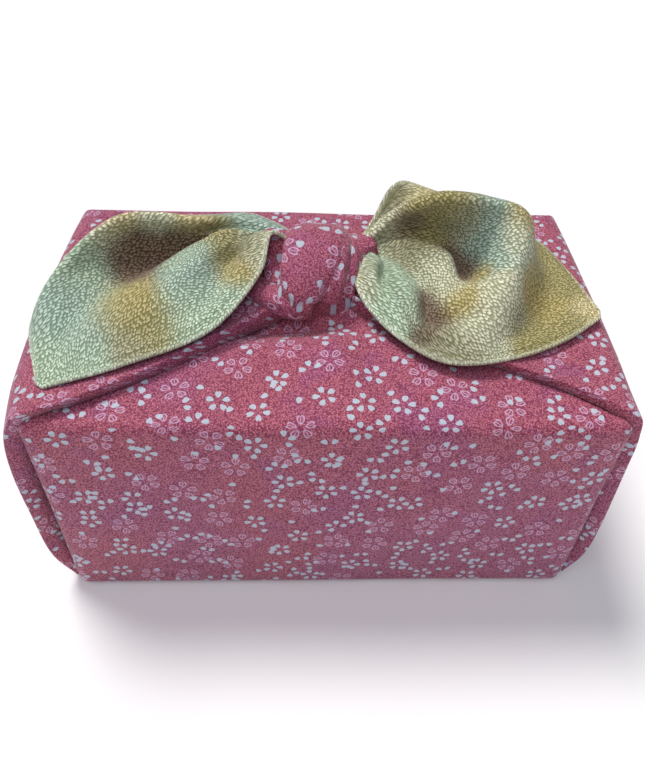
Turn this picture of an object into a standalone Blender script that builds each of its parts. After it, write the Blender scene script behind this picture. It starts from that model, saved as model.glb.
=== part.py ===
"""Furoshiki wrap: one lined wrapping cloth folded round a box shape, its two ends tied in a knot on top.

The printed crepe outer cloth is one solid: the filled bundle, the two end flaps that rise over it, the
knot, and the outer layer of both wings of the bow. The green lining shows only inside the two wings, where
each has its own thin solid. Metres, +Z up, the front towards -Y, origin under the middle of the base.
"""

import bmesh
import bpy
import numpy as np

MM = 0.001

# Driving dimensions, in metres
BUNDLE_WIDTH = 0.200
BUNDLE_DEPTH = 0.120
BUNDLE_HEIGHT = 0.101
EDGE_RADIUS = 0.0045
CLOTH_LAYER = 0.0010
LAYER_GAP = 0.0003

# Softness of the bundle's faces, in metres
TENT_RISE = 0.004
TENT_SPREAD = (0.045, 0.034)
BACK_RISE = 0.0022
RIDGE_RISE = 0.0022
RIDGE_SPREAD = 0.013
RIDGE_LEAN = 0.22
FACE_CROWN = 0.0008
FACE_CUTS = 7
SHARP_ANGLE = 1.0
LID_SHARE = 0.95
FACE_SHARE = 0.49
EDGE_STEPS = 3

# Mesh steps of the thin sheets, the flaps and the strands
WING_STEPS_PER_FOLD = 2
WING_STEPS_ALONG = 17
HEM_INSET = 0.015
FLAP_STEPS_ACROSS = 7
FLAP_STEPS_ALONG = 18
STRAND_SIDES = 10
STRAND_STEPS = 11
CROSSWISE = 0.7

# Where along each wing the columns of its table lie, from the knot (0) to the tip (1)
LEFT_STATIONS = (0.0, 0.12, 0.30, 0.52, 0.76, 1.0)
RIGHT_STATIONS = (0.0, 0.09, 0.19, 0.31, 0.42, 0.55, 0.64, 0.82, 1.0)
WING_ROOT = 0.065
LEFT_START = 0.10
RIGHT_START = 0.10
WING_END = 0.96
WING_TIP = 0.99
WING_STEP_GROWTH = 1.1
LEFT_CORNER_START = 0.82
RIGHT_CORNER_START = 0.74

# The folds of each wing from the front hem to the back hem, as places in millimetres
LEFT_TIP = (-94, -47, 105.5)
LEFT_FOLDS = (
    # fold, then root, throat and gather, and below them middle and spread
    ("front hem",   (-12, 9.5, 121.5), (-19.5, 8, 127.5), (-24, -4, 119.5),
                    (-40, -23, 110), (-67, -37.5, 107.5)),
    ("hem roll",    (-12, 10.5, 121), (-24, 9.5, 126), (-30, 0.5, 119.5),
                    (-43, -20, 111.5), (-70, -35, 108)),
    ("front slit",  (-12, 11.5, 119), (-28.5, 10.5, 121.5), (-35, 5.5, 116),
                    (-46, -16, 112), (-73, -32, 108)),
    ("belly",       (-12, 12.5, 118), (-30.5, 12.5, 121.5), (-41, 6, 120.5),
                    (-54, -8, 117), (-77, -27, 110)),
    ("inner ridge", (-12, 13.5, 118.5), (-31, 15, 122.5), (-43, 12, 121.5),
                    (-55.5, 4.5, 117.5), (-80, -22, 111)),
    ("deep valley", (-12, 14.5, 117.5), (-31, 17.5, 121), (-46, 16.5, 114.5),
                    (-66, 8, 110.5), (-86, -15, 109)),
    ("rim wall",    (-12, 16, 117.5), (-30.5, 19.5, 121), (-48.5, 19.5, 119),
                    (-73, 14, 118.5), (-92, -10, 112.5)),
    ("rim",         (-12, 17, 119), (-28.5, 21, 123), (-47, 18, 125.5),
                    (-75, 13.5, 128.5), (-98, -10, 114)),
    ("rim back",    (-11, 18.5, 118), (-26.5, 25.5, 121.5), (-44, 25.5, 122),
                    (-78, 19, 122), (-100.5, -10, 111)),
    ("back hem",    (-10, 19.5, 117), (-21, 27.5, 118.5), (-36, 29.5, 120),
                    (-79, 23, 113), (-101.5, -12, 108)),
)
RIGHT_TIP = (98.5, -13, 108)
RIGHT_FOLDS = (
    # fold, then root, throat, collar and gather, and below them pocket, ridge, foot and panel
    ("front hem",    (14, 12, 117), (14, 8, 118), (10.5, -3, 114), (19, -19, 109),
                     (33, -33, 107.5), (48, -36.5, 107), (61, -34, 107), (82, -25, 107)),
    ("collar crest", (14, 10, 117.5), (17, 4.5, 120), (16, -3, 117.5), (22.5, -17.5, 109.5),
                     (33, -31.5, 108), (49.5, -34.5, 108), (62.5, -31.5, 107.5), (83.5, -22, 107)),
    ("front slit",   (14, 9, 116.5), (20, 3.5, 118), (19, -1.5, 113.5), (25.5, -16.5, 111.5),
                     (32, -28.6, 108.5), (51, -32, 109.5), (64, -28.5, 108), (85, -20, 107)),
    ("mint crest",   (14, 9, 115.5), (22, 4.5, 118), (23.5, -3, 118.5), (28.5, -14, 116),
                     (32, -24.5, 111.5), (53, -28.5, 112.5), (65.5, -25, 108), (86, -17, 107)),
    ("mint valley",  (14, 10, 115), (23.5, 7.5, 117.5), (29, 3.5, 116.5), (35, -5, 112.5),
                     (36, -17.5, 109.5), (56, -24, 116), (67, -21.5, 108.5), (87, -14, 107.5)),
    ("middle panel", (14, 11, 115.5), (24.5, 10, 119), (31.5, 7, 120), (38.5, -1, 117.5),
                     (42, -13.5, 115.5), (59, -20, 119), (69, -17.5, 109), (88, -11, 107.5)),
    ("middle ridge", (14, 12.5, 116.5), (25.5, 12.5, 121), (35, 10, 122.5), (43, 4.5, 120.5),
                     (46.5, -6, 116), (61.5, -15, 122), (71, -13.5, 109), (89, -8, 107.5)),
    ("dark valley",  (14, 13.5, 116.5), (26, 15, 120.5), (38, 13.5, 118.5), (46, 10, 116),
                     (51.5, 3, 113), (64, -10, 124.5), (72, -9, 109.5), (90, -5, 107.5)),
    ("low wall",     (14, 14.5, 117), (26, 17, 122.5), (38, 17, 124), (46, 15.5, 123.5),
                     (55.5, 9, 121.5), (66.5, -5, 127), (74, -4, 111), (91, -2, 107.5)),
    ("high wall",    (14, 14, 118.5), (24.5, 16.5, 125.5), (35, 15.5, 131), (44, 14, 132.5),
                     (56.5, 12, 131), (69, 1, 130.5), (76, 1, 112), (92, 1, 107.5)),
    ("rim",          (14, 13.5, 120), (22.5, 15, 128), (31, 12, 136), (42, 11, 139.5),
                     (57, 11.5, 138), (70.5, 7, 132.5), (78, 7, 113), (92.5, 4, 108)),
    ("rim top",      (14, 15, 120.5), (22.5, 18, 129), (32, 15, 137.5), (42, 14, 140.5),
                     (57, 15, 138), (71.5, 10.5, 133), (79, 13, 113), (93, 6, 108.3)),
    ("rim back",     (14, 16.5, 119.5), (23.5, 21, 127), (33, 19, 134), (43, 18, 138),
                     (58, 19, 135), (72, 16, 128.5), (80, 19, 112), (93, 8, 108.3)),
    ("back valley",  (14, 18, 118), (23, 24, 126), (32, 24.5, 131.5), (43, 24.5, 133),
                     (59, 26, 127), (73, 22, 120), (81, 25, 110.5), (93, 10, 108.3)),
    ("ear",          (13, 18.5, 117), (21, 25, 126), (28, 27, 134), (39, 30.5, 131),
                     (58, 31, 121), (73, 28, 113), (82, 30, 108.5), (92.5, 12.5, 108)),
    ("back hem",     (12, 17.5, 116), (18, 23, 124), (24, 26, 135.5), (36, 34, 130),
                     (57, 35, 119), (73, 34, 109), (83, 34, 107), (91.5, 15.5, 107.5)),
)

# The end flaps from the base up the side and over the top to the knot: front, middle and back of each station
LEFT_FLAP = (
    ("foot",      (-102, -56, 1.0),   (-103, 0, 1.0),    (-102, 56, 1.0)),
    ("low side",  (-108, -57, 20),    (-107, -2, 20),    (-105, 57, 20)),
    ("mid side",  (-109, -57, 47),    (-108, -4, 47),    (-106, 57, 47)),
    ("high side", (-108, -58, 74),    (-108, -8, 76),    (-105, 58, 74)),
    ("shoulder",  (-105, -58.5, 94),  (-107, -10, 96),   (-102, 58.5, 94)),
    ("top edge",  (-99, -58.5, 103),  (-101, -6, 104.5), (-98, 58.5, 102.5)),
    ("outer top", (-84, -52, 104),    (-86, -2, 105),    (-84, 52, 103.5)),
    ("mid top",   (-58, -36.5, 104.5), (-60, 0, 106),    (-58, 37, 104)),
    ("inner top", (-34, -19.5, 106),  (-36, 1, 107.5),   (-34, 22, 105.5)),
    ("gather",    (-14, -7, 108),     (-14, 3, 110),     (-14, 13, 108)),
)
RIGHT_FLAP = (
    ("foot",      (103, -56, 1.0),    (103, 0, 1.0),     (102, 56, 1.0)),
    ("low side",  (107, -57, 20),     (106, 0, 20),      (105, 57, 20)),
    ("mid side",  (107, -57, 47),     (107, 0, 47),      (106, 57, 47)),
    ("high side", (105, -58, 76),     (106, 0, 76),      (105, 58, 76)),
    ("shoulder",  (103, -58.5, 94),   (104, 0, 96),      (102, 58.5, 94)),
    ("top edge",  (99, -57.5, 103),   (99, 0, 104.5),    (98, 58.5, 102.5)),
    ("outer top", (84, -47, 104),     (85, 0, 104.5),    (84, 50, 103.5)),
    ("mid top",   (58, -33.5, 104.5), (60, 0, 105.5),    (58, 36, 104)),
    ("inner top", (32, -20, 105.5),   (34, 1, 107),      (32, 22, 105.5)),
    ("gather",    (9, -6, 108),       (11, 3, 109.5),    (11, 13, 108)),
)
FLAP_CENTRE = np.array([0, 0, 0.050])
FLAP_EDGE_SCALE = 0.985
FLAP_ROOT_SCALE = 0.80
FLAP_EDGE_INSET = 0.04

# The gathered cloth of the knot: each strand's middle line, then its half width and half thickness
KNOT_STRANDS = (
    ("main lobe",
     ((-4, 26, 104), (-3.5, 20, 117), (-4, 9, 122), (-7.5, -2, 118.5), (-11, -9, 111), (-9, -7, 104)),
     (10, 11.5, 12, 10.5, 7, 4), (4, 5, 5.5, 5.5, 5, 4)),
    ("first pleat", ((4.5, 24, 105), (4.5, 18, 116), (4, 8, 120.5), (2, -3, 115.5), (0.5, -7, 108.5)),
     (5, 5, 5, 4.5, 3.5), (4, 4.5, 5, 4.5, 4)),
    ("second pleat", ((9, 24, 105), (8.5, 18, 115), (8, 9, 118.5), (7, 0.5, 114), (6.5, -3.5, 108)),
     (4, 4.5, 4.5, 4, 3.5), (4, 4.5, 4.5, 4, 3.5)),
    ("third pleat", ((12, 23, 105), (11.5, 18, 113), (10.5, 10.5, 117), (9.5, 3.5, 113), (9, 0, 107)),
     (3.5, 3.5, 3.5, 3.2, 3), (4, 4, 4.5, 4, 3)),
    ("left stem", ((-7, 9, 115), (-12, 10.5, 117), (-17.5, 13, 118.5), (-24, 16, 119)),
     (6, 6.5, 7, 5), (4.5, 5, 5, 3)),
    ("right stem", ((4, 8, 114), (8, 9.5, 116), (12.5, 11.5, 118), (17, 13.5, 119)),
     (5, 5, 5, 4), (4.5, 4.5, 4.5, 3.5)),
    ("under gather", ((-32, 3, 107), (-26, -1, 109), (-19.5, -5.5, 110), (-13.5, -9, 108.5), (-7, -8, 105.5)),
     (3.5, 5, 5.5, 5, 3.5), (3, 4, 4.5, 4.5, 3)),
    ("side gather", ((-17, 20, 106), (-19, 13, 114), (-19, 5, 114.5), (-18, -3, 110), (-16, -7, 105)),
     (3.5, 4, 4, 4, 3.5), (4, 4.5, 4.5, 4, 4)),
)
HEART_CENTRE = (-1, 6, 106)
HEART_RADII = (16, 14, 14)

OUTER_COLOUR = (0.68, 0.20, 0.27, 1.0)
LINING_COLOUR = (0.47, 0.53, 0.33, 1.0)
CREPE_ROUGHNESS = 0.85


def crepe(name, colour):
    """A matt crepe finish in one colour."""
    finish = bpy.data.materials.new(name)
    finish.use_nodes = True
    shader = finish.node_tree.nodes["Principled BSDF"]
    shader.inputs["Base Color"].default_value = colour
    shader.inputs["Roughness"].default_value = CREPE_ROUGHNESS
    shader.inputs["Metallic"].default_value = 0.0
    return finish


def through(knots, rows, places):
    """Smooth curve through the rows, one row a knot, read at the places: a cubic Hermite spline."""
    knots = np.asarray(knots, float)
    rows = np.asarray(rows, float)
    flat = rows.reshape(len(rows), -1)
    slope = np.gradient(flat, knots, axis=0)
    i = np.clip(np.searchsorted(knots, places, side="right") - 1, 0, len(knots) - 2)
    step = (knots[i + 1] - knots[i])[:, None]
    s = ((places - knots[i]) / (knots[i + 1] - knots[i]))[:, None]
    read = (
        (2 * s**3 - 3 * s**2 + 1) * flat[i]
        + (s**3 - 2 * s**2 + s) * step * slope[i]
        + (3 * s**2 - 2 * s**3) * flat[i + 1]
        + (s**3 - s**2) * step * slope[i + 1]
    )
    return read.reshape(len(places), *rows.shape[1:])


def grid_normals(grid):
    """Unit normals of a grid of points, each the cross product of its steps across and along."""
    across = np.gradient(grid, axis=0)
    along = np.gradient(grid, axis=1)
    normal = np.cross(across, along)
    return normal / np.linalg.norm(normal, axis=2, keepdims=True)


def slab(name, above, below):
    """A closed mesh object between two grids of points of the same size."""
    rows, columns = above.shape[:2]
    count = rows * columns
    points = np.concatenate([above.reshape(-1, 3), below.reshape(-1, 3)])

    def at(i, j, layer):
        return layer * count + i * columns + j

    faces = []
    for i in range(rows - 1):
        for j in range(columns - 1):
            faces.append((at(i, j, 0), at(i + 1, j, 0), at(i + 1, j + 1, 0), at(i, j + 1, 0)))
            faces.append((at(i, j, 1), at(i, j + 1, 1), at(i + 1, j + 1, 1), at(i + 1, j, 1)))
    for i in range(rows - 1):
        for j in (0, columns - 1):
            faces.append((at(i, j, 0), at(i, j, 1), at(i + 1, j, 1), at(i + 1, j, 0)))
    for j in range(columns - 1):
        for i in (0, rows - 1):
            faces.append((at(i, j, 0), at(i, j + 1, 0), at(i, j + 1, 1), at(i, j, 1)))
    return mesh_object(name, points, faces)


def mesh_object(name, points, faces):
    """A mesh object of these points and faces, its faces turned outwards and shaded smooth."""
    mesh = bpy.data.meshes.new(name)
    mesh.from_pydata([tuple(p) for p in points], [], faces)
    work = bmesh.new()
    work.from_mesh(mesh)
    bmesh.ops.recalc_face_normals(work, faces=work.faces)
    work.to_mesh(mesh)
    work.free()
    mesh.shade_smooth()
    made = bpy.data.objects.new(name, mesh)
    bpy.context.scene.collection.objects.link(made)
    return made


def bundle_core():
    """The filled box shape under the flaps: rounded edges, a flat base and a top that rises to the knot."""
    work = bmesh.new()
    bmesh.ops.create_cube(work, size=1.0)
    size = np.array([BUNDLE_WIDTH, BUNDLE_DEPTH, BUNDLE_HEIGHT])
    for corner in work.verts:
        corner.co.x *= size[0]
        corner.co.y *= size[1]
        corner.co.z = (corner.co.z + 0.5) * size[2]
    bmesh.ops.subdivide_edges(work, edges=work.edges[:], cuts=FACE_CUTS, use_grid_fill=True)
    sharp = [e for e in work.edges if e.calc_face_angle(0.0) > SHARP_ANGLE]
    bmesh.ops.bevel(work, geom=sharp, offset=EDGE_RADIUS, segments=EDGE_STEPS, profile=0.5, affect="EDGES")
    for point in work.verts:
        x, y, z = point.co
        lift = z / BUNDLE_HEIGHT
        if lift > LID_SHARE:
            point.co.z += top_relief(x, y)
        inward = 1 - (2 * x / BUNDLE_WIDTH) ** 2
        if abs(y) > FACE_SHARE * BUNDLE_DEPTH:
            point.co.y += np.sign(y) * FACE_CROWN * inward * 4 * lift * (1 - lift)
    mesh = bpy.data.meshes.new("bundle core")
    work.to_mesh(mesh)
    work.free()
    core = bpy.data.objects.new("bundle core", mesh)
    bpy.context.scene.collection.objects.link(core)
    return core


def top_relief(x, y):
    """How far the drawn-up top stands above the lid: a tent, a soft front ridge and a raised back strip."""
    tent = TENT_RISE * np.exp(-((x / TENT_SPREAD[0]) ** 2) - (y / TENT_SPREAD[1]) ** 2)
    nearer = np.clip(1 + 2 * y / BUNDLE_DEPTH, 0, 1)
    ridge = RIDGE_RISE * np.exp(-(((x + RIDGE_LEAN * y) / RIDGE_SPREAD) ** 2)) * nearer
    back = BACK_RISE * np.clip(2 * y / BUNDLE_DEPTH, 0, 1) ** 2
    return tent + back + ridge * (y < 0)


def flap(name, stations):
    """One end flap as a slab that reaches into the bundle, its long edges rounded like a folded edge."""
    rails = np.array([row[1:] for row in stations], float) * MM
    rails = through(np.linspace(0, 1, len(stations)), rails, np.linspace(0, 1, FLAP_STEPS_ALONG))
    inset = 1 - FLAP_EDGE_INSET
    t = np.concatenate([[-1], np.linspace(-inset, inset, FLAP_STEPS_ACROSS), [1]])[:, None, None]
    front, middle, back = (rails[None, :, k] for k in range(3))
    outer = front * t * (t - 1) / 2 + middle * (1 - t**2) + back * t * (t + 1) / 2
    scale = np.where(abs(t) == 1, FLAP_EDGE_SCALE, 1.0)
    outer = FLAP_CENTRE + (outer - FLAP_CENTRE) * scale
    return slab(name, outer, FLAP_CENTRE + (outer - FLAP_CENTRE) * FLAP_ROOT_SCALE)


def strand(name, places, half_widths, half_depths):
    """A gathered strand of cloth: an oval section swept along its middle line, with closed ends."""
    knots = np.linspace(0, 1, len(places))
    rows = np.column_stack([np.array(places, float), half_widths, half_depths]) * MM
    rows = through(knots, rows, np.linspace(0, 1, STRAND_STEPS))
    line, wide, deep = rows[:, :3], rows[:, 3], rows[:, 4]
    along = np.gradient(line, axis=0)
    along /= np.linalg.norm(along, axis=1, keepdims=True)
    broad = np.array([1.0, 0, 0]) - along * along[:, :1]
    if abs(along[len(along) // 2, 0]) > CROSSWISE:
        broad = np.array([0, 1.0, 0]) - along * along[:, 1:2]
    broad /= np.linalg.norm(broad, axis=1, keepdims=True)
    out = np.cross(along, broad)
    angle = np.linspace(0, 2 * np.pi, STRAND_SIDES, endpoint=False)
    rings = (
        line[:, None]
        + broad[:, None] * (wide[:, None] * np.cos(angle))[:, :, None]
        + out[:, None] * (deep[:, None] * np.sin(angle))[:, :, None]
    )
    points = rings.reshape(-1, 3)
    faces = []
    for i in range(STRAND_STEPS - 1):
        for j in range(STRAND_SIDES):
            k = (j + 1) % STRAND_SIDES
            a, b = i * STRAND_SIDES, (i + 1) * STRAND_SIDES
            faces.append((a + j, a + k, b + k, b + j))
    faces.append(tuple(range(STRAND_SIDES)))
    faces.append(tuple(range(len(points) - STRAND_SIDES, len(points))))
    return mesh_object(name, points, faces)


def heart():
    """The hidden middle of the knot, which the strands wrap."""
    work = bmesh.new()
    bmesh.ops.create_icosphere(work, subdivisions=2, radius=1.0)
    for point in work.verts:
        for k in range(3):
            point.co[k] = (HEART_CENTRE[k] + HEART_RADII[k] * point.co[k]) * MM
    mesh = bpy.data.meshes.new("knot heart")
    work.to_mesh(mesh)
    work.free()
    made = bpy.data.objects.new("knot heart", mesh)
    bpy.context.scene.collection.objects.link(made)
    return made


def wing_layers(side, folds, tip, stations, start, corner_start):
    """Both layers of a wing as closed sheets: the printed cloth, and the lining inside its hems."""
    rows = np.array([list(fold[1:]) + [tip] for fold in folds], float) * MM
    steps = np.linspace(0, 1, WING_STEPS_ALONG + 1) ** WING_STEP_GROWTH
    places = np.concatenate([[WING_ROOT], start + (WING_END - start) * steps, [WING_TIP]])
    along = through(stations, rows.transpose(1, 0, 2), places)
    inner = np.linspace(0, 1, WING_STEPS_PER_FOLD * (len(folds) - 1) + 1)[1:-1]
    across = np.concatenate([[0, HEM_INSET], inner, [1 - HEM_INSET, 1]])
    face = through(np.linspace(0, 1, len(folds)), along.transpose(1, 0, 2), across)
    plain = face[0] + (face[-1] - face[0]) * across[:, None, None]
    ease = np.clip((places - corner_start) / (1 - corner_start), 0, 1)[None, :, None]
    face += (plain - face) * ease * (2 - ease)
    normal = grid_normals(face) * (1 if tip[0] < 0 else -1)
    printed = slab(side + " wing", face, face - normal * CLOTH_LAYER)
    face, normal = face[1:-1, 1:-1], normal[1:-1, 1:-1]
    low = face + normal * LAYER_GAP
    lining = slab(side + "_wing_lining", low + normal * CLOTH_LAYER, low)
    return printed, lining


def joined(name, pieces, finish):
    """All pieces as one closed solid, by exact unions onto the first one."""
    body = pieces[0]
    helpers = bpy.data.collections.new("joined pieces")
    bpy.context.scene.collection.children.link(helpers)
    helpers.hide_render = True
    for piece in pieces[1:]:
        bpy.context.scene.collection.objects.unlink(piece)
        helpers.objects.link(piece)
        piece.hide_render = True
        piece.display_type = "WIRE"
    union = body.modifiers.new("joined pieces", "BOOLEAN")
    union.operation = "UNION"
    union.solver = "EXACT"
    union.use_self = True
    union.operand_type = "COLLECTION"
    union.collection = helpers
    body.name = name
    body.data.materials.append(finish)
    return body


def main():
    for old in list(bpy.data.objects):
        bpy.data.objects.remove(old)
    printed = crepe("printed crepe", OUTER_COLOUR)
    green = crepe("green lining crepe", LINING_COLOUR)
    pieces = [bundle_core(), flap("left flap", LEFT_FLAP), flap("right flap", RIGHT_FLAP), heart()]
    for name, places, wide, deep in KNOT_STRANDS:
        pieces.append(strand(name, places, wide, deep))
    wings = (
        ("left", LEFT_FOLDS, LEFT_TIP, LEFT_STATIONS, LEFT_START, LEFT_CORNER_START),
        ("right", RIGHT_FOLDS, RIGHT_TIP, RIGHT_STATIONS, RIGHT_START, RIGHT_CORNER_START),
    )
    for wing in wings:
        printed_layer, lining = wing_layers(*wing)
        pieces.append(printed_layer)
        lining.data.materials.append(green)
    joined("outer_cloth", pieces, printed)


main()
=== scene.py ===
"""A furoshiki wrap: one lined crepe wrapping cloth folded round a box shape and tied on top.

The bundle is filled cloth, the two end flaps and the wings of the bow are sheets, and the knot is gathered
cloth. Metres, +Z up, the front towards -Y, in the frame of the solids that the pieces stand for.
"""

import math

import bmesh
import bpy
import numpy as np
from bpy.props import FloatProperty, FloatVectorProperty, PointerProperty
from mathutils import Matrix, Vector


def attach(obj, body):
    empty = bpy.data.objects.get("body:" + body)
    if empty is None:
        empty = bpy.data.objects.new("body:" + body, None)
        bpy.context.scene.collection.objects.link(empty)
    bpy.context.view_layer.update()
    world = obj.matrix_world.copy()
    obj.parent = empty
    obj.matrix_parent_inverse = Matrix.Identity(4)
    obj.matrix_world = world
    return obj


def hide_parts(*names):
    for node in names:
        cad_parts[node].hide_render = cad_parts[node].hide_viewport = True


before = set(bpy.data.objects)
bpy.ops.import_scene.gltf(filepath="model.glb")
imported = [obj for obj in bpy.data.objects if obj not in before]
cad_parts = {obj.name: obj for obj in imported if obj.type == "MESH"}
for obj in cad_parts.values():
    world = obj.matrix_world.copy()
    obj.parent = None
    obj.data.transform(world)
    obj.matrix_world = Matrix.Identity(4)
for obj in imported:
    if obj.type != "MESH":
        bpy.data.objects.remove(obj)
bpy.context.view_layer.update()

bl_info = {
    "name": "Furoshiki wrap",
    "version": (1, 0, 0),
    "blender": (4, 5, 0),
    "location": "3D View > Sidebar > Furoshiki",
    "description": "Builds a tied wrapping cloth of printed crepe with a shaded green lining",
    "category": "Add Mesh",
}

BODY = "root"
OUTER_NODE = "outer_cloth"
OUTER_SLOT = "outer_crepe"
LINING_SLOT = "lining_crepe"
MM = 0.001

# The camera that the photograph was taken with, as fitted to the bundle's corners
PHOTO_WIDTH_PX = 645
PHOTO_HEIGHT_PX = 774
CAMERA_FOCAL_PX = 733.95
CAMERA_AZIMUTH = math.radians(-3.2745)
CAMERA_ELEVATION = math.radians(47.0383)
CAMERA_ROLL = math.radians(2.5524)
CAMERA_TARGET = Vector((0.0, 0.0, 0.0561))
CAMERA_DISTANCE = 0.3067
SENSOR_MM = 36.0

# Where along each wing the columns of its table lie, from the knot (0) to the tip (1)
LEFT_STATIONS = (0.0, 0.12, 0.30, 0.52, 0.76, 1.0)
RIGHT_STATIONS = (0.0, 0.09, 0.19, 0.31, 0.42, 0.55, 0.64, 0.82, 1.0)
LEFT_CORNER_START = 0.82
RIGHT_CORNER_START = 0.74
WING_START = 0.0
WING_END = 0.985

# The folds of each wing from the front hem to the back hem, as places in millimetres
LEFT_TIP = (-94, -47, 105.5)
LEFT_FOLDS = (
    # fold, then root, throat and gather, and below them middle and spread
    ("front hem",   (-12, 9.5, 121.5), (-19.5, 8, 127.5), (-24, -4, 119.5),
                    (-40, -23, 110), (-67, -37.5, 107.5)),
    ("hem roll",    (-12, 10.5, 121), (-24, 9.5, 126), (-30, 0.5, 119.5),
                    (-43, -20, 111.5), (-70, -35, 108)),
    ("front slit",  (-12, 11.5, 119), (-28.5, 10.5, 121.5), (-35, 5.5, 116),
                    (-46, -16, 112), (-73, -32, 108)),
    ("belly",       (-12, 12.5, 118), (-30.5, 12.5, 121.5), (-41, 6, 120.5),
                    (-54, -8, 117), (-77, -27, 110)),
    ("inner ridge", (-12, 13.5, 118.5), (-31, 15, 122.5), (-43, 12, 121.5),
                    (-55.5, 4.5, 117.5), (-80, -22, 111)),
    ("deep valley", (-12, 14.5, 117.5), (-31, 17.5, 121), (-46, 16.5, 114.5),
                    (-66, 8, 110.5), (-86, -15, 109)),
    ("rim wall",    (-12, 16, 117.5), (-30.5, 19.5, 121), (-48.5, 19.5, 119),
                    (-73, 14, 118.5), (-92, -10, 112.5)),
    ("rim",         (-12, 17, 119), (-28.5, 21, 123), (-47, 18, 125.5),
                    (-75, 13.5, 128.5), (-98, -10, 114)),
    ("rim back",    (-11, 18.5, 118), (-26.5, 25.5, 121.5), (-44, 25.5, 122),
                    (-78, 19, 122), (-100.5, -10, 111)),
    ("back hem",    (-10, 19.5, 117), (-21, 27.5, 118.5), (-36, 29.5, 120),
                    (-79, 23, 113), (-101.5, -12, 108)),
)
RIGHT_TIP = (98.5, -13, 108)
RIGHT_FOLDS = (
    # fold, then root, throat, collar and gather, and below them pocket, ridge, foot and panel
    ("front hem",    (14, 12, 117), (14, 8, 118), (10.5, -3, 114), (19, -19, 109),
                     (33, -33, 107.5), (48, -36.5, 107), (61, -34, 107), (82, -25, 107)),
    ("collar crest", (14, 10, 117.5), (17, 4.5, 120), (16, -3, 117.5), (22.5, -17.5, 109.5),
                     (33, -31.5, 108), (49.5, -34.5, 108), (62.5, -31.5, 107.5), (83.5, -22, 107)),
    ("front slit",   (14, 9, 116.5), (20, 3.5, 118), (19, -1.5, 113.5), (25.5, -16.5, 111.5),
                     (32, -28.6, 108.5), (51, -32, 109.5), (64, -28.5, 108), (85, -20, 107)),
    ("mint crest",   (14, 9, 115.5), (22, 4.5, 118), (23.5, -3, 118.5), (28.5, -14, 116),
                     (32, -24.5, 111.5), (53, -28.5, 112.5), (65.5, -25, 108), (86, -17, 107)),
    ("mint valley",  (14, 10, 115), (23.5, 7.5, 117.5), (29, 3.5, 116.5), (35, -5, 112.5),
                     (36, -17.5, 109.5), (56, -24, 116), (67, -21.5, 108.5), (87, -14, 107.5)),
    ("middle panel", (14, 11, 115.5), (24.5, 10, 119), (31.5, 7, 120), (38.5, -1, 117.5),
                     (42, -13.5, 115.5), (59, -20, 119), (69, -17.5, 109), (88, -11, 107.5)),
    ("middle ridge", (14, 12.5, 116.5), (25.5, 12.5, 121), (35, 10, 122.5), (43, 4.5, 120.5),
                     (46.5, -6, 116), (61.5, -15, 122), (71, -13.5, 109), (89, -8, 107.5)),
    ("dark valley",  (14, 13.5, 116.5), (26, 15, 120.5), (38, 13.5, 118.5), (46, 10, 116),
                     (51.5, 3, 113), (64, -10, 124.5), (72, -9, 109.5), (90, -5, 107.5)),
    ("low wall",     (14, 14.5, 117), (26, 17, 122.5), (38, 17, 124), (46, 15.5, 123.5),
                     (55.5, 9, 121.5), (66.5, -5, 127), (74, -4, 111), (91, -2, 107.5)),
    ("high wall",    (14, 14, 118.5), (24.5, 16.5, 125.5), (35, 15.5, 131), (44, 14, 132.5),
                     (56.5, 12, 131), (69, 1, 130.5), (76, 1, 112), (92, 1, 107.5)),
    ("rim",          (14, 13.5, 120), (22.5, 15, 128), (31, 12, 136), (42, 11, 139.5),
                     (57, 11.5, 138), (70.5, 7, 132.5), (78, 7, 113), (92.5, 4, 108)),
    ("rim top",      (14, 15, 120.5), (22.5, 18, 129), (32, 15, 137.5), (42, 14, 140.5),
                     (57, 15, 138), (71.5, 10.5, 133), (79, 13, 113), (93, 6, 108.3)),
    ("rim back",     (14, 16.5, 119.5), (23.5, 21, 127), (33, 19, 134), (43, 18, 138),
                     (58, 19, 135), (72, 16, 128.5), (80, 19, 112), (93, 8, 108.3)),
    ("back valley",  (14, 18, 118), (23, 24, 126), (32, 24.5, 131.5), (43, 24.5, 133),
                     (59, 26, 127), (73, 22, 120), (81, 25, 110.5), (93, 10, 108.3)),
    ("ear",          (13, 18.5, 117), (21, 25, 126), (28, 27, 134), (39, 30.5, 131),
                     (58, 31, 121), (73, 28, 113), (82, 30, 108.5), (92.5, 12.5, 108)),
    ("back hem",     (12, 17.5, 116), (18, 23, 124), (24, 26, 135.5), (36, 34, 130),
                     (57, 35, 119), (73, 34, 109), (83, 34, 107), (91.5, 15.5, 107.5)),
)

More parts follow.
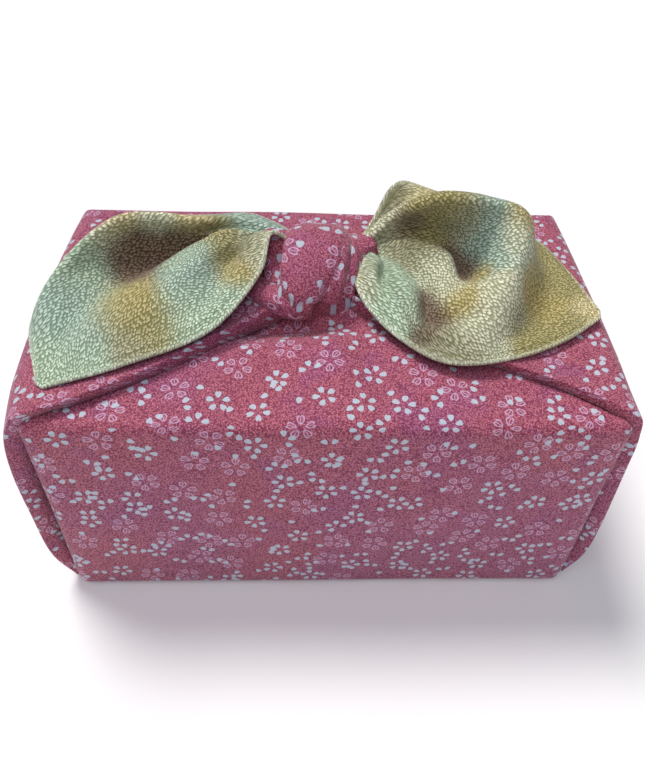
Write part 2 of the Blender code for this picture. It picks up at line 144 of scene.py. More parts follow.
# The lining's graded dye, with painted light: where each tone is strongest, in millimetres, and how far it
# spreads. The brown spots in the valleys and pockets are partly brown dye and partly painted shade. The pale
# and straw spots on the crests, rims and the right wing's ear are partly their own pale dye and partly painted
# highlight.
DYE_AND_LIGHT_TONES = {
    "mint": (0.62, 0.82, 0.62),
    "teal": (0.50, 0.70, 0.61),
    "pale": (0.84, 0.86, 0.62),
    "straw": (0.86, 0.74, 0.38),
    "yellow": (0.62, 0.50, 0.16),
    "olive": (0.48, 0.42, 0.15),
    "brown_and_shade": (0.19, 0.10, 0.05),
    "grey": (0.48, 0.47, 0.29),
}
# Left wing: its brown spots in the deep valley are partly painted shade. Its straw and pale spots on the rim
# are partly painted highlight.
LEFT_DYE_AND_LIGHT = (
    # tone      place             spread
    ("teal",    (-89, -18, 111),  13),
    ("mint",    (-92, -37, 107),  11),
    ("mint",    (-88, 2, 119),    8),
    ("yellow",  (-71, -14, 113),  9),
    ("olive",   (-60, -24, 111),  7),
    ("grey",    (-66, -31, 109),  5),
    ("brown_and_shade",   (-73, 12, 116),   7),
    ("brown_and_shade",   (-66, 7, 111),    8),
    ("brown_and_shade",   (-58, 12, 113),   6),
    ("brown_and_shade",   (-48, 16, 114),   6),
    ("straw",   (-75, 13.5, 128), 5),
    ("pale",    (-62, 15, 127),   5),
    ("straw",   (-48, 18, 125),   5),
    ("teal",    (-46, -4, 119),   9),
    ("mint",    (-52, 4, 119),    6),
    ("mint",    (-44, -19, 111),  10),
    ("yellow",  (-34, -1, 117),   5),
    ("olive",   (-37, 6, 118),    5),
    ("grey",    (-29, 6, 122),    5),
    ("pale",    (-21, 3, 123),    5),
    ("olive",   (-40, 17, 124),   5),
    ("pale",    (-80, 12, 126),   6),
    ("teal",    (-34, 27, 121),   7),
)
# Right wing: its brown spots in the pockets and valleys are partly painted shade. Its pale spots on the crests
# and ear are partly painted highlight.
RIGHT_DYE_AND_LIGHT = (
    # tone      place             spread
    ("pale",    (13, -4, 115),    5),
    ("mint",    (22, -6, 117),    7),
    ("mint",    (25, -18, 110),   6),
    ("brown_and_shade",   (36, -18, 110),   6),
    ("brown_and_shade",   (35, -11, 111),   4),
    ("brown_and_shade",   (33, -25, 109),   4),
    ("grey",    (30, 6, 119),     5),
    ("pale",    (37, 2, 119),     5),
    ("pale",    (41, -9, 116),    5),
    ("yellow",  (46, -15, 115),   5),
    ("brown_and_shade",   (50, 4, 113.5),   5),
    ("brown_and_shade",   (44, 9, 116),     4),
    ("yellow",  (56, -2, 116),    4),
    ("olive",   (37, 12, 121),    5),
    ("olive",   (40, 14, 132),    7),
    ("brown_and_shade",   (32, 15, 128),    4),
    ("grey",    (48, 13, 129),    6),
    ("teal",    (58, 6, 126),     8),
    ("pale",    (66, 2, 131),     5),
    ("yellow",  (70, 9, 133),     5),
    ("pale",    (60, -17, 120),   6),
    ("pale",    (51, -27, 113),   6),
    ("grey",    (66, -18, 112),   4),
    ("yellow",  (76, -6, 111),    8),
    ("olive",   (84, 8, 109),     8),
    ("olive",   (75, -24, 108),   7),
    ("olive",   (88, -16, 108),   4),
    ("straw",   (95, -12, 108),   5),
    ("pale",    (26, 26, 132),    6),
    ("straw",   (31, 25, 130),    5),
    ("grey",    (40, -33, 108),   8),
)

# The end flaps from the base up the side and over the top to the knot: front, middle and back places
LEFT_FLAP = (
    ("foot",      (-102, -56, 1.0),    (-103, 0, 1.0),    (-102, 56, 1.0)),
    ("low side",  (-108, -57, 20),     (-107, -2, 20),    (-105, 57, 20)),
    ("mid side",  (-109, -57, 47),     (-108, -4, 47),    (-106, 57, 47)),
    ("high side", (-108, -58, 74),     (-108, -8, 76),    (-105, 58, 74)),
    ("shoulder",  (-105, -58.5, 94),   (-107, -10, 96),   (-102, 58.5, 94)),
    ("top edge",  (-99, -58.5, 103),   (-101, -6, 104.5), (-98, 58.5, 102.5)),
    ("outer top", (-84, -52, 104),     (-86, -2, 105),    (-84, 52, 103.5)),
    ("mid top",   (-58, -36.5, 104.5), (-60, 0, 106),     (-58, 37, 104)),
    ("inner top", (-34, -19.5, 106),   (-36, 1, 107.5),   (-34, 22, 105.5)),
    ("gather",    (-14, -7, 108),      (-14, 3, 110),     (-14, 13, 108)),
)
RIGHT_FLAP = (
    ("foot",      (103, -56, 1.0),   (103, 0, 1.0),    (102, 56, 1.0)),
    ("low side",  (107, -57, 20),    (106, 0, 20),     (105, 57, 20)),
    ("mid side",  (107, -57, 47),    (107, 0, 47),     (106, 57, 47)),
    ("high side", (105, -58, 76),    (106, 0, 76),     (105, 58, 76)),
    ("shoulder",  (103, -58.5, 94),  (104, 0, 96),     (102, 58.5, 94)),
    ("top edge",  (99, -57.5, 103),  (99, 0, 104.5),   (98, 58.5, 102.5)),
    ("outer top", (84, -47, 104),    (85, 0, 104.5),   (84, 50, 103.5)),
    ("mid top",   (58, -33.5, 104.5), (60, 0, 105.5),  (58, 36, 104)),
    ("inner top", (32, -20, 105.5),  (34, 1, 107),     (32, 22, 105.5)),
    ("gather",    (9, -6, 108),      (11, 3, 109.5),   (11, 13, 108)),
)
FLAP_CENTRE = np.array([0, 0, 0.050])

# The gathered cloth of the knot: middle line, half width and half thickness, all in millimetres
KNOT_STRANDS = (
    ("lobe",
     ((-4, 26, 104), (-3.5, 20, 117), (-4, 9, 122), (-7.5, -2, 118.5), (-11, -9, 111), (-9, -7, 104)),
     (10, 11.5, 12, 10.5, 7, 4), (4, 5, 5.5, 5.5, 5, 4)),
    ("first_pleat", ((4.5, 24, 105), (4.5, 18, 116), (4, 8, 120.5), (2, -3, 115.5), (0.5, -7, 108.5)),
     (5, 5, 5, 4.5, 3.5), (4, 4.5, 5, 4.5, 4)),
    ("second_pleat", ((9, 24, 105), (8.5, 18, 115), (8, 9, 118.5), (7, 0.5, 114), (6.5, -3.5, 108)),
     (4, 4.5, 4.5, 4, 3.5), (4, 4.5, 4.5, 4, 3.5)),
    ("third_pleat", ((12, 23, 105), (11.5, 18, 113), (10.5, 10.5, 117), (9.5, 3.5, 113), (9, 0, 107)),
     (3.5, 3.5, 3.5, 3.2, 3), (4, 4, 4.5, 4, 3)),
    ("left_stem", ((-7, 9, 115), (-12, 10.5, 117), (-17.5, 13, 118.5), (-24, 16, 119)),
     (6, 6.5, 7, 5), (4.5, 5, 5, 3)),
    ("right_stem", ((4, 8, 114), (8, 9.5, 116), (12.5, 11.5, 118), (17, 13.5, 119)),
     (5, 5, 5, 4), (4.5, 4.5, 4.5, 3.5)),
    ("under_gather",
     ((-32, 3, 107), (-26, -1, 109), (-19.5, -5.5, 110), (-13.5, -9, 108.5), (-7, -8, 105.5)),
     (3.5, 5, 5.5, 5, 3.5), (3, 4, 4.5, 4.5, 3)),
    ("side_gather", ((-17, 20, 106), (-19, 13, 114), (-19, 5, 114.5), (-18, -3, 110), (-16, -7, 105)),
     (3.5, 4, 4, 4, 3.5), (4, 4.5, 4.5, 4, 4)),
)
HEART_CENTRE = (-1, 6, 106)
HEART_RADII = (16, 14, 14)

# Creases of the bundle: from, to, half width and height in millimetres, negative for a trough
BUNDLE_CREASES = (
    ("left pull",        (-10, -14, 103), (-52, -55, 101), 7.0, 1.1),
    ("left hollow",      (-16, -16, 103), (-30, -54, 101), 8.0, -1.0),
    ("ridge flank",      (9, -14, 103),   (19, -50, 101),  7.0, -1.9),
    ("ridge crest",      (2, -20, 103),   (12, -55, 101),  3.0, 0.6),
    ("right pull",       (20, -16, 103),  (52, -54, 101),  7.0, 0.9),
    ("front sag left",   (-60, -60, 92),  (-66, -60, 12),  16.0, -0.5),
    ("front fullness",   (10, -60, 84),   (4, -60, 14),    30.0, 0.6),
    ("front sag right",  (66, -60, 90),   (78, -60, 14),   15.0, -0.5),
    ("back sag left",    (-55, 60, 92),   (-62, 60, 12),   16.0, -0.5),
    ("back sag right",   (55, 60, 92),    (62, 60, 12),    16.0, -0.5),
)


class WrapSizes(bpy.types.PropertyGroup):
    """Sizes of the wrap."""

    width: FloatProperty(name="Bundle width", description="Bundle from end to end, without the flaps",
                         default=0.200, unit="LENGTH")
    depth: FloatProperty(name="Bundle depth", description="Bundle from front to back",
                         default=0.120, unit="LENGTH")
    height: FloatProperty(name="Bundle height", description="Base to the top edges",
                          default=0.101, unit="LENGTH")
    edge_radius: FloatProperty(name="Edge radius", description="Rounding of the bundle's edges",
                               default=0.0045, unit="LENGTH")
    tent_rise: FloatProperty(name="Rise to the knot", description="How far the knot draws the top up",
                             default=0.004, unit="LENGTH")
    back_rise: FloatProperty(name="Back lift", description="Height of the top's back strip over the lid",
                             default=0.0022, unit="LENGTH")
    tuck_depth: FloatProperty(name="Tuck at the knot",
                              description="Depth of the hollow in front of the knot",
                              default=0.0065, unit="LENGTH")
    ridge_rise: FloatProperty(name="Front crease",
                              description="Height of the soft crease towards the front",
                              default=0.0022, unit="LENGTH")
    face_crown: FloatProperty(name="Fullness", description="How far front and back bulge",
                              default=0.0008, unit="LENGTH")
    cloth: FloatProperty(name="Cloth thickness", description="Thickness of one layer of crepe",
                         default=0.0006, unit="LENGTH")
    layer_gap: FloatProperty(name="Layer gap", description="Air between the cloth and its lining",
                             default=0.0001, unit="LENGTH")
    flap_fold: FloatProperty(name="Flap fold", description="Radius of a flap's folded edges",
                             default=0.0011, unit="LENGTH")
    hem_radius: FloatProperty(name="Hem radius", description="Radius of the turned hem edge",
                              default=0.00075, unit="LENGTH")
    hem_width: FloatProperty(name="Hem width", description="Distance of the pressed hem line from the edge",
                             default=0.0030, unit="LENGTH")


class WrapColours(bpy.types.PropertyGroup):
    """Colours of the wrap."""

    rose: FloatVectorProperty(name="Rose", description="Main colour of the printed crepe", subtype="COLOR",
                              size=4, default=(0.45, 0.105, 0.20, 1), min=0, max=1)
    coral: FloatVectorProperty(name="Coral", description="Warmer drift in the printed crepe",
                               subtype="COLOR", size=4, default=(0.55, 0.115, 0.140, 1), min=0, max=1)
    plum: FloatVectorProperty(name="Plum", description="Cooler drift in the printed crepe",
                              subtype="COLOR", size=4, default=(0.34, 0.08, 0.28, 1), min=0, max=1)
    blossom: FloatVectorProperty(name="Blossom", description="Printed petals", subtype="COLOR",
                                 size=4, default=(0.56, 0.66, 0.76, 1), min=0, max=1)
    outline: FloatVectorProperty(name="Outline", description="Petals printed as outlines", subtype="COLOR",
                                 size=4, default=(0.66, 0.42, 0.60, 1), min=0, max=1)


class Nodes:
    """Adds shader nodes to one material and links them."""

    def __init__(self, tree):
        self.tree = tree

    def add(self, kind, inputs=(), **settings):
        """A node with its settings, and its inputs given as values or as sockets to link."""
        node = self.tree.nodes.new(kind)
        for name, value in settings.items():
            setattr(node, name, value)
        for key, value in dict(inputs).items():
            self.put(node.inputs[key], value)
        return node

    def put(self, socket, value):
        if isinstance(value, bpy.types.NodeSocket):
            self.tree.links.new(value, socket)
        else:
            socket.default_value = value

    def math(self, operation, *values, clamp=False):
        inputs = dict(enumerate(values))
        return self.add("ShaderNodeMath", inputs, operation=operation, use_clamp=clamp).outputs[0]

    def vector(self, operation, *values):
        return self.add("ShaderNodeVectorMath", dict(enumerate(values)), operation=operation).outputs[0]

    def scale(self, value, factor):
        return self.add("ShaderNodeVectorMath", {0: value, "Scale": factor}, operation="SCALE").outputs[0]

    def ramp(self, value, low, high):
        """0 below low and 1 above high, smooth between; swapped ends turn it round."""
        inputs = {0: value, 1: low, 2: high, 3: 0.0, 4: 1.0}
        if low > high:
            inputs = {0: value, 1: high, 2: low, 3: 1.0, 4: 0.0}
        return self.add("ShaderNodeMapRange", inputs, interpolation_type="SMOOTHSTEP").outputs[0]

    def mix(self, factor, first, second, blend="MIX"):
        node = self.add("ShaderNodeMix", data_type="RGBA", blend_type=blend)
        self.put(node.inputs[0], factor)
        self.put(node.inputs[6], first)
        self.put(node.inputs[7], second)
        return node.outputs[2]

    def split(self, value):
        return self.add("ShaderNodeSeparateXYZ", {0: value}).outputs

    def noise(self, place, scale, detail=2.0, roughness=0.5):
        inputs = {"Vector": place, "Scale": scale, "Detail": detail, "Roughness": roughness}
        return self.add("ShaderNodeTexNoise", inputs).outputs[0]

    def cells(self, place, scale, randomness=1.0, dimensions="3D"):
        inputs = {"Vector": place, "Scale": scale, "Randomness": randomness}
        return self.add("ShaderNodeTexVoronoi", inputs, voronoi_dimensions=dimensions).outputs


# The print: pitch and turn of its two lattices, and the petals' own sizes, in metres
BLOSSOM_PITCH = 0.0150
BLOSSOM_TURN = math.radians(17)
BLOSSOM_SHIFT = 0.0028
PETAL_PITCH = 0.0106
PETAL_TURN = math.radians(-31)
PETAL_SHIFT = 0.0010
PETAL_MIDDLE = 0.0028
PETAL_LENGTH = 0.0014
PETAL_WIDTH = 0.00105
PETAL_TAPER = 0.65
PETAL_NOTCH = 0.0005
VEIN_WIDTH = 0.00016
OUTLINE_SHARE = 0.48
OUTLINE_GROWTH = 0.14
BLOSSOM_CLEAR = 0.0056
PETALS = 5
PRINT_WANDER = 0.00014
WANDER_SCALE = 600.0
SEED_LEAN = 0.37
BLOSSOM_SEED = 3.0
PETAL_SEED = 11.0
NOTCH_SLOPE = 1.2
NOTCH_STRENGTH = 2.4
PETAL_HIDDEN = 9.0
PETAL_EDGE = 0.22
OUTLINE_LINE = 0.16
OUTLINE_SOFTNESS = (0.45, 0.18)
LOOSE_RANGE = (3.6, 0.5)


def lattice(n, place, pitch, turn, shift, seed):
    """The place within each cell of a turned lattice, from its shifted middle, and its random numbers."""
    turned = n.add("ShaderNodeVectorRotate", {"Vector": place, "Angle": turn}, rotation_type="Z_AXIS")
    moved = n.vector("ADD", n.scale(turned.outputs[0], 1 / pitch), (seed, seed * SEED_LEAN, 0))
    cell = n.vector("FLOOR", moved)
    chance = n.add("ShaderNodeTexWhiteNoise", {"Vector": n.vector("ADD", cell, (0.5, 0.5, seed))})
    offset = n.vector("SUBTRACT", chance.outputs[1], (0.5, 0.5, 0.5))
    offset = n.scale(offset, 2 * shift / pitch)
    local = n.vector("SUBTRACT", n.vector("FRACTION", moved), (0.5, 0.5, 0.0))
    local = n.scale(n.vector("SUBTRACT", local, offset), pitch)
    other = n.add("ShaderNodeTexWhiteNoise", {"Vector": n.vector("ADD", cell, (7.5, 3.5, seed))})
    return local, n.split(other.outputs[1])


def petals(n, local, spin, shown):
    """How far inside a petal each place is, 1 at its middle and 0 at its edge; its vein; and its middle."""
    x, y = n.split(local)[:2]
    distance = n.math("SQRT", n.math("ADD", n.math("MULTIPLY", x, x), n.math("MULTIPLY", y, y)))
    turn = n.math("MULTIPLY", spin, 2 * math.pi)
    part = n.math("DIVIDE", n.math("ADD", n.math("ARCTAN2", y, x), turn), 2 * math.pi / PETALS)
    index = n.math("FLOORED_MODULO", n.math("FLOOR", part), PETALS)
    within = n.math("MULTIPLY", n.math("SUBTRACT", n.math("FRACT", part), 0.5), 2 * math.pi / PETALS)
    along = n.math("MULTIPLY", distance, n.math("COSINE", within))
    across = n.math("ABSOLUTE", n.math("MULTIPLY", distance, n.math("SINE", within)))
    taper = n.math("MULTIPLY_ADD", n.math("DIVIDE", along, PETAL_MIDDLE), PETAL_TAPER, 1 - PETAL_TAPER)
    sideways = n.math("DIVIDE", across, n.math("MULTIPLY", taper, PETAL_WIDTH))
    lengthwise = n.math("DIVIDE", n.math("SUBTRACT", along, PETAL_MIDDLE), PETAL_LENGTH)
    oval = n.math("ADD", n.math("MULTIPLY", lengthwise, lengthwise), n.math("MULTIPLY", sideways, sideways))
    notch = n.math("SUBTRACT", along, n.math("MULTIPLY", across, NOTCH_SLOPE))
    notch = n.math("SUBTRACT", notch, PETAL_MIDDLE + PETAL_LENGTH - PETAL_NOTCH)
    notch = n.math("MULTIPLY", n.math("MAXIMUM", notch, 0.0), NOTCH_STRENGTH / PETAL_NOTCH)
    hidden = n.math("MULTIPLY", n.math("GREATER_THAN", index, shown), PETAL_HIDDEN)
    inside = n.math("SUBTRACT", n.math("SUBTRACT", n.math("SUBTRACT", 1.0, oval), notch), hidden)
    vein = n.math("MULTIPLY", n.ramp(across, VEIN_WIDTH, 0.5 * VEIN_WIDTH), n.ramp(inside, 0.0, 0.3))
    heading = n.math("MULTIPLY", n.math("ADD", n.math("FLOOR", part), 0.5), 2 * math.pi / PETALS)
    heading = n.math("SUBTRACT", heading, turn)
    middle = n.add("ShaderNodeCombineXYZ", {0: n.math("MULTIPLY", n.math("COSINE", heading), PETAL_MIDDLE),
                                            1: n.math("MULTIPLY", n.math("SINE", heading), PETAL_MIDDLE)})
    return inside, vein, middle.outputs[0]


def print_masks(n, place):
    """Where the printed petals are solid, and where they are outlines."""
    local, chance = lattice(n, place, BLOSSOM_PITCH, BLOSSOM_TURN, BLOSSOM_SHIFT, BLOSSOM_SEED)
    is_outline = n.math("LESS_THAN", chance[1], OUTLINE_SHARE)
    growth = n.math("MULTIPLY_ADD", is_outline, -OUTLINE_GROWTH, 1.0)
    local = n.scale(local, growth)
    inside, vein, _ = petals(n, local, chance[0], PETALS - 0.5)
    full = n.math("MULTIPLY", n.ramp(inside, 0.0, PETAL_EDGE), n.math("SUBTRACT", 1.0, is_outline))
    rim = n.ramp(n.math("ABSOLUTE", n.math("SUBTRACT", inside, OUTLINE_LINE)), *OUTLINE_SOFTNESS)
    rim = n.math("MULTIPLY", n.math("MAXIMUM", rim, vein), is_outline)
    local, chance = lattice(n, place, PETAL_PITCH, PETAL_TURN, PETAL_SHIFT, PETAL_SEED)
    shown = n.math("SUBTRACT", n.math("MULTIPLY", chance[1], LOOSE_RANGE[0]), LOOSE_RANGE[1])
    inside, _, middle = petals(n, local, chance[0], shown)
    step = n.add("ShaderNodeVectorRotate",
                 {"Vector": n.vector("SUBTRACT", middle, local), "Angle": -PETAL_TURN},
                 rotation_type="Z_AXIS").outputs[0]
    moved = n.vector("ADD", place, step)
    blossom, _ = lattice(n, moved, BLOSSOM_PITCH, BLOSSOM_TURN, BLOSSOM_SHIFT, BLOSSOM_SEED)
    away = n.add("ShaderNodeVectorMath", {0: blossom}, operation="LENGTH").outputs[1]
    loose = n.math("MULTIPLY", n.ramp(inside, 0.0, PETAL_EDGE), n.math("GREATER_THAN", away, BLOSSOM_CLEAR))
    return n.math("MAXIMUM", full, loose), rim


GRAIN_FINE = 2200.0
GRAIN_COARSE = 1600.0
DRIFT_SCALE = 14.0


def printed_crepe(colours):
    """Rose crepe that drifts between coral and plum, with the blossom print and a fine wrinkled grain: painted
    highlight on its raised speckles, painted shade in its hollows.
    """
    finish = bpy.data.materials.new("printed crepe")
    finish.use_nodes = True
    n = Nodes(finish.node_tree)
    shader = finish.node_tree.nodes["Principled BSDF"]
    place = n.add("ShaderNodeTexCoord").outputs["Object"]
    cloth = n.add("ShaderNodeUVMap", uv_map="cloth").outputs[0]
    grain = n.cells(place, GRAIN_COARSE)
    fine = n.noise(place, GRAIN_FINE, 3.0, 0.7)
    drift = n.noise(place, DRIFT_SCALE, 2.0, 0.5)
    ground = n.mix(n.ramp(drift, 0.35, 0.60), tuple(colours.coral), tuple(colours.rose))
    cool = n.noise(n.vector("ADD", place, (0.31, 0.17, 0.05)), 4 * DRIFT_SCALE, 2.0, 0.6)
    ground = n.mix(n.math("MULTIPLY", n.ramp(cool, 0.50, 0.72), 0.55), ground, tuple(colours.plum))
    # Painted highlight: the fine noise that raises the bump also lightens the crepe. Below, painted shade
    # darkens the hollows between the grain's cells.
    speckle_highlight = n.ramp(fine, 0.38, 0.66)
    ground = n.mix(n.math("MULTIPLY", speckle_highlight, 0.62), ground, (0.90, 0.40, 0.54, 1))
    shade = n.ramp(grain["Distance"], 0.75, 0.15)
    ground = n.mix(n.math("MULTIPLY_ADD", shade, -0.85, 0.85), ground, (0.16, 0.012, 0.06, 1))
    wander = n.add("ShaderNodeTexNoise", {"Vector": cloth, "Scale": WANDER_SCALE, "Detail": 1.0}).outputs[1]
    wander = n.vector("MULTIPLY", n.vector("SUBTRACT", wander, (0.5, 0.5, 0.5)), (1.0, 1.0, 0.0))
    solid, rim = print_masks(n, n.vector("ADD", cloth, n.scale(wander, 2 * PRINT_WANDER)))
    worn = n.math("MULTIPLY_ADD", fine, 0.5, 0.62, clamp=True)
    painted = n.mix(n.math("MULTIPLY", rim, worn), ground, tuple(colours.outline))
    painted = n.mix(n.math("MULTIPLY", solid, worn), painted, tuple(colours.blossom))
    n.put(shader.inputs["Base Color"], painted)
    n.put(shader.inputs["Roughness"], n.math("MULTIPLY_ADD", fine, 0.2, 0.62))
    shader.inputs["Sheen Weight"].default_value = 0.25
    shader.inputs["Sheen Roughness"].default_value = 0.4
    shader.inputs["Specular IOR Level"].default_value = 0.35
    height = n.math("MULTIPLY_ADD", shade, 0.6, n.math("MULTIPLY", fine, 0.6))
    bump = n.add("ShaderNodeBump", {"Strength": 0.75, "Distance": 0.00035, "Height": height})
    n.put(shader.inputs["Normal"], bump.outputs[0])
    return finish


LINING_GRAIN = 1050.0
GRAIN_TURN = math.radians(38)
HEM_LINE_WIDTH = 0.0004


def lining_crepe(sizes):
    """Coarse crepe: raised grains painted pale as highlight over a ground painted darker as shade, dyed by the
    mesh's own dye colours.
    """
    finish = bpy.data.materials.new("green lining crepe")
    finish.use_nodes = True
    n = Nodes(finish.node_tree)
    shader = finish.node_tree.nodes["Principled BSDF"]
    place = n.add("ShaderNodeTexCoord").outputs["Object"]
    cloth = n.add("ShaderNodeUVMap", uv_map="cloth").outputs[0]
    # The dye attribute holds the graded dye, with painted shade in the valleys and painted highlight on the
    # crests.
    dye_and_light = n.add("ShaderNodeAttribute", attribute_name="dye_and_light").outputs[0]
    hem = n.add("ShaderNodeAttribute", attribute_name="hem_distance").outputs[2]
    stretched = n.add("ShaderNodeMapping", {"Vector": cloth, "Rotation": (0, 0, GRAIN_TURN),
                                            "Scale": (1.0, 0.62, 1.0)}).outputs[0]
    grain = n.cells(stretched, LINING_GRAIN, 0.75, "2D")
    raised = n.ramp(grain["Distance"], 0.55, 0.30)
    fine = n.noise(place, 2400.0, 2.0, 0.6)
    chance = n.split(grain["Color"])[0]
    # Painted highlight and shade: the raised grains are lit pale and the ground between them is darkened.
    lit = n.math("MULTIPLY", raised, n.math("MULTIPLY_ADD", chance, 0.5, 0.5))
    deep = n.mix(1.0, dye_and_light, (0.34, 0.36, 0.27, 1), "MULTIPLY")
    pale = n.mix(0.14, n.mix(1.0, dye_and_light, (1.35, 1.30, 1.30, 1), "MULTIPLY"), (1.0, 1.0, 0.82, 1))
    ground = n.mix(lit, n.mix(0.80, dye_and_light, deep), pale)
    ground = n.mix(n.math("MULTIPLY", fine, 0.25), ground, deep)
    edge = n.ramp(hem, 0.0016, 0.0004)
    ground = n.mix(n.math("MULTIPLY", edge, 0.35), ground, (0.72, 0.76, 0.60, 1))
    line = n.math("ABSOLUTE", n.math("SUBTRACT", hem, sizes.hem_width))
    pressed = n.ramp(line, 2 * HEM_LINE_WIDTH, 0.3 * HEM_LINE_WIDTH)
    ground = n.mix(n.math("MULTIPLY", pressed, 0.22), ground, deep)
    n.put(shader.inputs["Base Color"], ground)
    shader.inputs["Roughness"].default_value = 0.75
    shader.inputs["Sheen Weight"].default_value = 0.2
    shader.inputs["Sheen Roughness"].default_value = 0.4
    shader.inputs["Specular IOR Level"].default_value = 0.3
    height = n.math("SUBTRACT", raised, n.math("MULTIPLY", pressed, 0.5))
    bump = n.add("ShaderNodeBump", {"Strength": 0.9, "Distance": 0.0006, "Height": height})
    n.put(shader.inputs["Normal"], bump.outputs[0])
    return finish


def finish_named(name, make, *needs):
    """The finish of that name, made once."""
    return bpy.data.materials.get(name) or make(*needs)


def outer_finish(scene):
    return finish_named("printed crepe", printed_crepe, scene.wrap_colours)


def lining_finish(scene):
    return finish_named("green lining crepe", lining_crepe, scene.wrap_sizes)


def through(knots, rows, places):
    """Smooth curve through the rows, one row a knot, read at the places: a cubic Hermite spline."""
    knots = np.asarray(knots, float)
    rows = np.asarray(rows, float)
    flat = rows.reshape(len(rows), -1)
    slope = np.gradient(flat, knots, axis=0)
    i = np.clip(np.searchsorted(knots, places, side="right") - 1, 0, len(knots) - 2)
    step = (knots[i + 1] - knots[i])[:, None]
    s = ((places - knots[i]) / (knots[i + 1] - knots[i]))[:, None]
    read = (
        (2 * s**3 - 3 * s**2 + 1) * flat[i]
        + (s**3 - 2 * s**2 + s) * step * slope[i]
        + (3 * s**2 - 2 * s**3) * flat[i + 1]
        + (s**3 - s**2) * step * slope[i + 1]
    )
    return read.reshape(len(places), *rows.shape[1:])


def grid_normals(grid):
    """Unit normals of a grid of points, each the cross product of its steps across and along."""
    normal = np.cross(np.gradient(grid, axis=0), np.gradient(grid, axis=1))
    return normal / np.maximum(np.linalg.norm(normal, axis=2, keepdims=True), 1e-12)


def arc_places(grid):
    """The cloth's flat places of a grid, in metres: along its mean column, and across from each middle."""
    steps = np.linalg.norm(np.diff(grid, axis=0), axis=2)
    across = np.concatenate([np.zeros((1, grid.shape[1])), np.cumsum(steps, axis=0)])
    across -= across[len(across) // 2]
    steps = np.linalg.norm(np.diff(grid, axis=1), axis=2).mean(axis=0)
    along = np.concatenate([[0], np.cumsum(steps)])
    return np.dstack([across, np.broadcast_to(along, across.shape)])


def new_piece(name, points, faces, flat, finish):
    """A smooth mesh object with its cloth places as a UV map, one place a point."""
    mesh = bpy.data.meshes.new(name)
    mesh.from_pydata([tuple(p) for p in points], [], faces)
    uv = mesh.uv_layers.new(name="cloth")
    loops = np.empty(len(mesh.loops), np.int32)
    mesh.loops.foreach_get("vertex_index", loops)
    uv.data.foreach_set("uv", np.asarray(flat, np.float32)[loops].ravel())
    mesh.shade_smooth()
    mesh.materials.append(finish)
    piece = bpy.data.objects.new(name, mesh)
    bpy.context.scene.collection.objects.link(piece)
    return piece


def turn_out(piece):
    """Turns a closed mesh's faces outwards."""
    work = bmesh.new()
    work.from_mesh(piece.data)
    bmesh.ops.recalc_face_normals(work, faces=work.faces)
    work.to_mesh(piece.data)
    work.free()


def slab(name, above, below, flat, finish):
    """A closed sheet between two grids of points of the same size."""
    rows, columns = above.shape[:2]
    count = rows * columns
    points = np.concatenate([above.reshape(-1, 3), below.reshape(-1, 3)])
    places = np.concatenate([flat.reshape(-1, 2), flat.reshape(-1, 2)])

    def at(i, j, layer):
        return layer * count + i * columns + j

    faces = []
    for i in range(rows - 1):
        for j in range(columns - 1):
            faces.append((at(i, j, 0), at(i + 1, j, 0), at(i + 1, j + 1, 0), at(i, j + 1, 0)))
            faces.append((at(i, j, 1), at(i, j + 1, 1), at(i + 1, j + 1, 1), at(i + 1, j, 1)))
    for i in range(rows - 1):
        for j in (0, columns - 1):
            faces.append((at(i, j, 0), at(i, j, 1), at(i + 1, j, 1), at(i + 1, j, 0)))
    for j in range(columns - 1):
        for i in (0, rows - 1):
            faces.append((at(i, j, 0), at(i, j + 1, 0), at(i, j + 1, 1), at(i, j, 1)))
    piece = new_piece(name, points, faces, places, finish)
    turn_out(piece)
    return piece


CREASE_END = 0.12
CREASE_RUN = 0.76


def crease_height(points, creases):
    """How far each point stands out by the creases near it: soft ridges and troughs on straight lines."""
    height = np.zeros(len(points))
    for _, start, end, spread, rise in creases:
        start, end = np.array(start, float) * MM, np.array(end, float) * MM
        run = end - start
        share = np.clip((points - start) @ run / (run @ run), 0, 1)
        away = np.linalg.norm(points - start - share[:, None] * run, axis=1)
        fade = np.sin(np.pi * np.clip(CREASE_END + CREASE_RUN * share, 0, 1))
        height += rise * MM * fade * np.exp(-((away / (spread * MM)) ** 2))
    return height


BUNDLE_CUTS = 71
EDGE_CROWDING = 0.5
SLACK_WAVES = ((23.0, 31.0, 17.0, 0.4), (41.0, -27.0, 36.0, 1.9), (-67.0, 53.0, 59.0, 4.1))
SLACK = 0.00022
TENT_SPREAD = (0.045, 0.034)
RIDGE_LEAN = 0.22
RIDGE_SPREAD = 0.013
TUCK_PLACE = (-0.011, -0.0115)
TUCK_SPREAD = (0.028, 0.0080)
LID_SHARE = 0.95
LID_FADE = 0.04
FACE_SHARE = 0.47
FREE_ABOVE = 8 * MM


def slackness(points):
    """Small uneven waves of cloth, in metres."""
    waves = [np.sin(points @ np.array(wave[:3]) + wave[3]) for wave in SLACK_WAVES]
    return SLACK * np.sum(waves, axis=0)


def top_relief(x, y, sizes):
    """How far the drawn-up top stands above the lid: a tent, a front ridge, a back strip and the tuck."""
    tent = sizes.tent_rise * np.exp(-((x / TENT_SPREAD[0]) ** 2) - (y / TENT_SPREAD[1]) ** 2)
    nearer = np.clip(1 + 2 * y / sizes.depth, 0, 1)
    ridge = sizes.ridge_rise * np.exp(-(((x + RIDGE_LEAN * y) / RIDGE_SPREAD) ** 2)) * nearer
    back = sizes.back_rise * np.clip(2 * y / sizes.depth, 0, 1) ** 2
    tuck_x = (x - TUCK_PLACE[0]) / TUCK_SPREAD[0]
    tuck_y = (y - TUCK_PLACE[1]) / TUCK_SPREAD[1]
    tuck = sizes.tuck_depth * np.exp(-(tuck_x**2) - tuck_y**2)
    return tent + back - tuck + ridge * (y < 0)


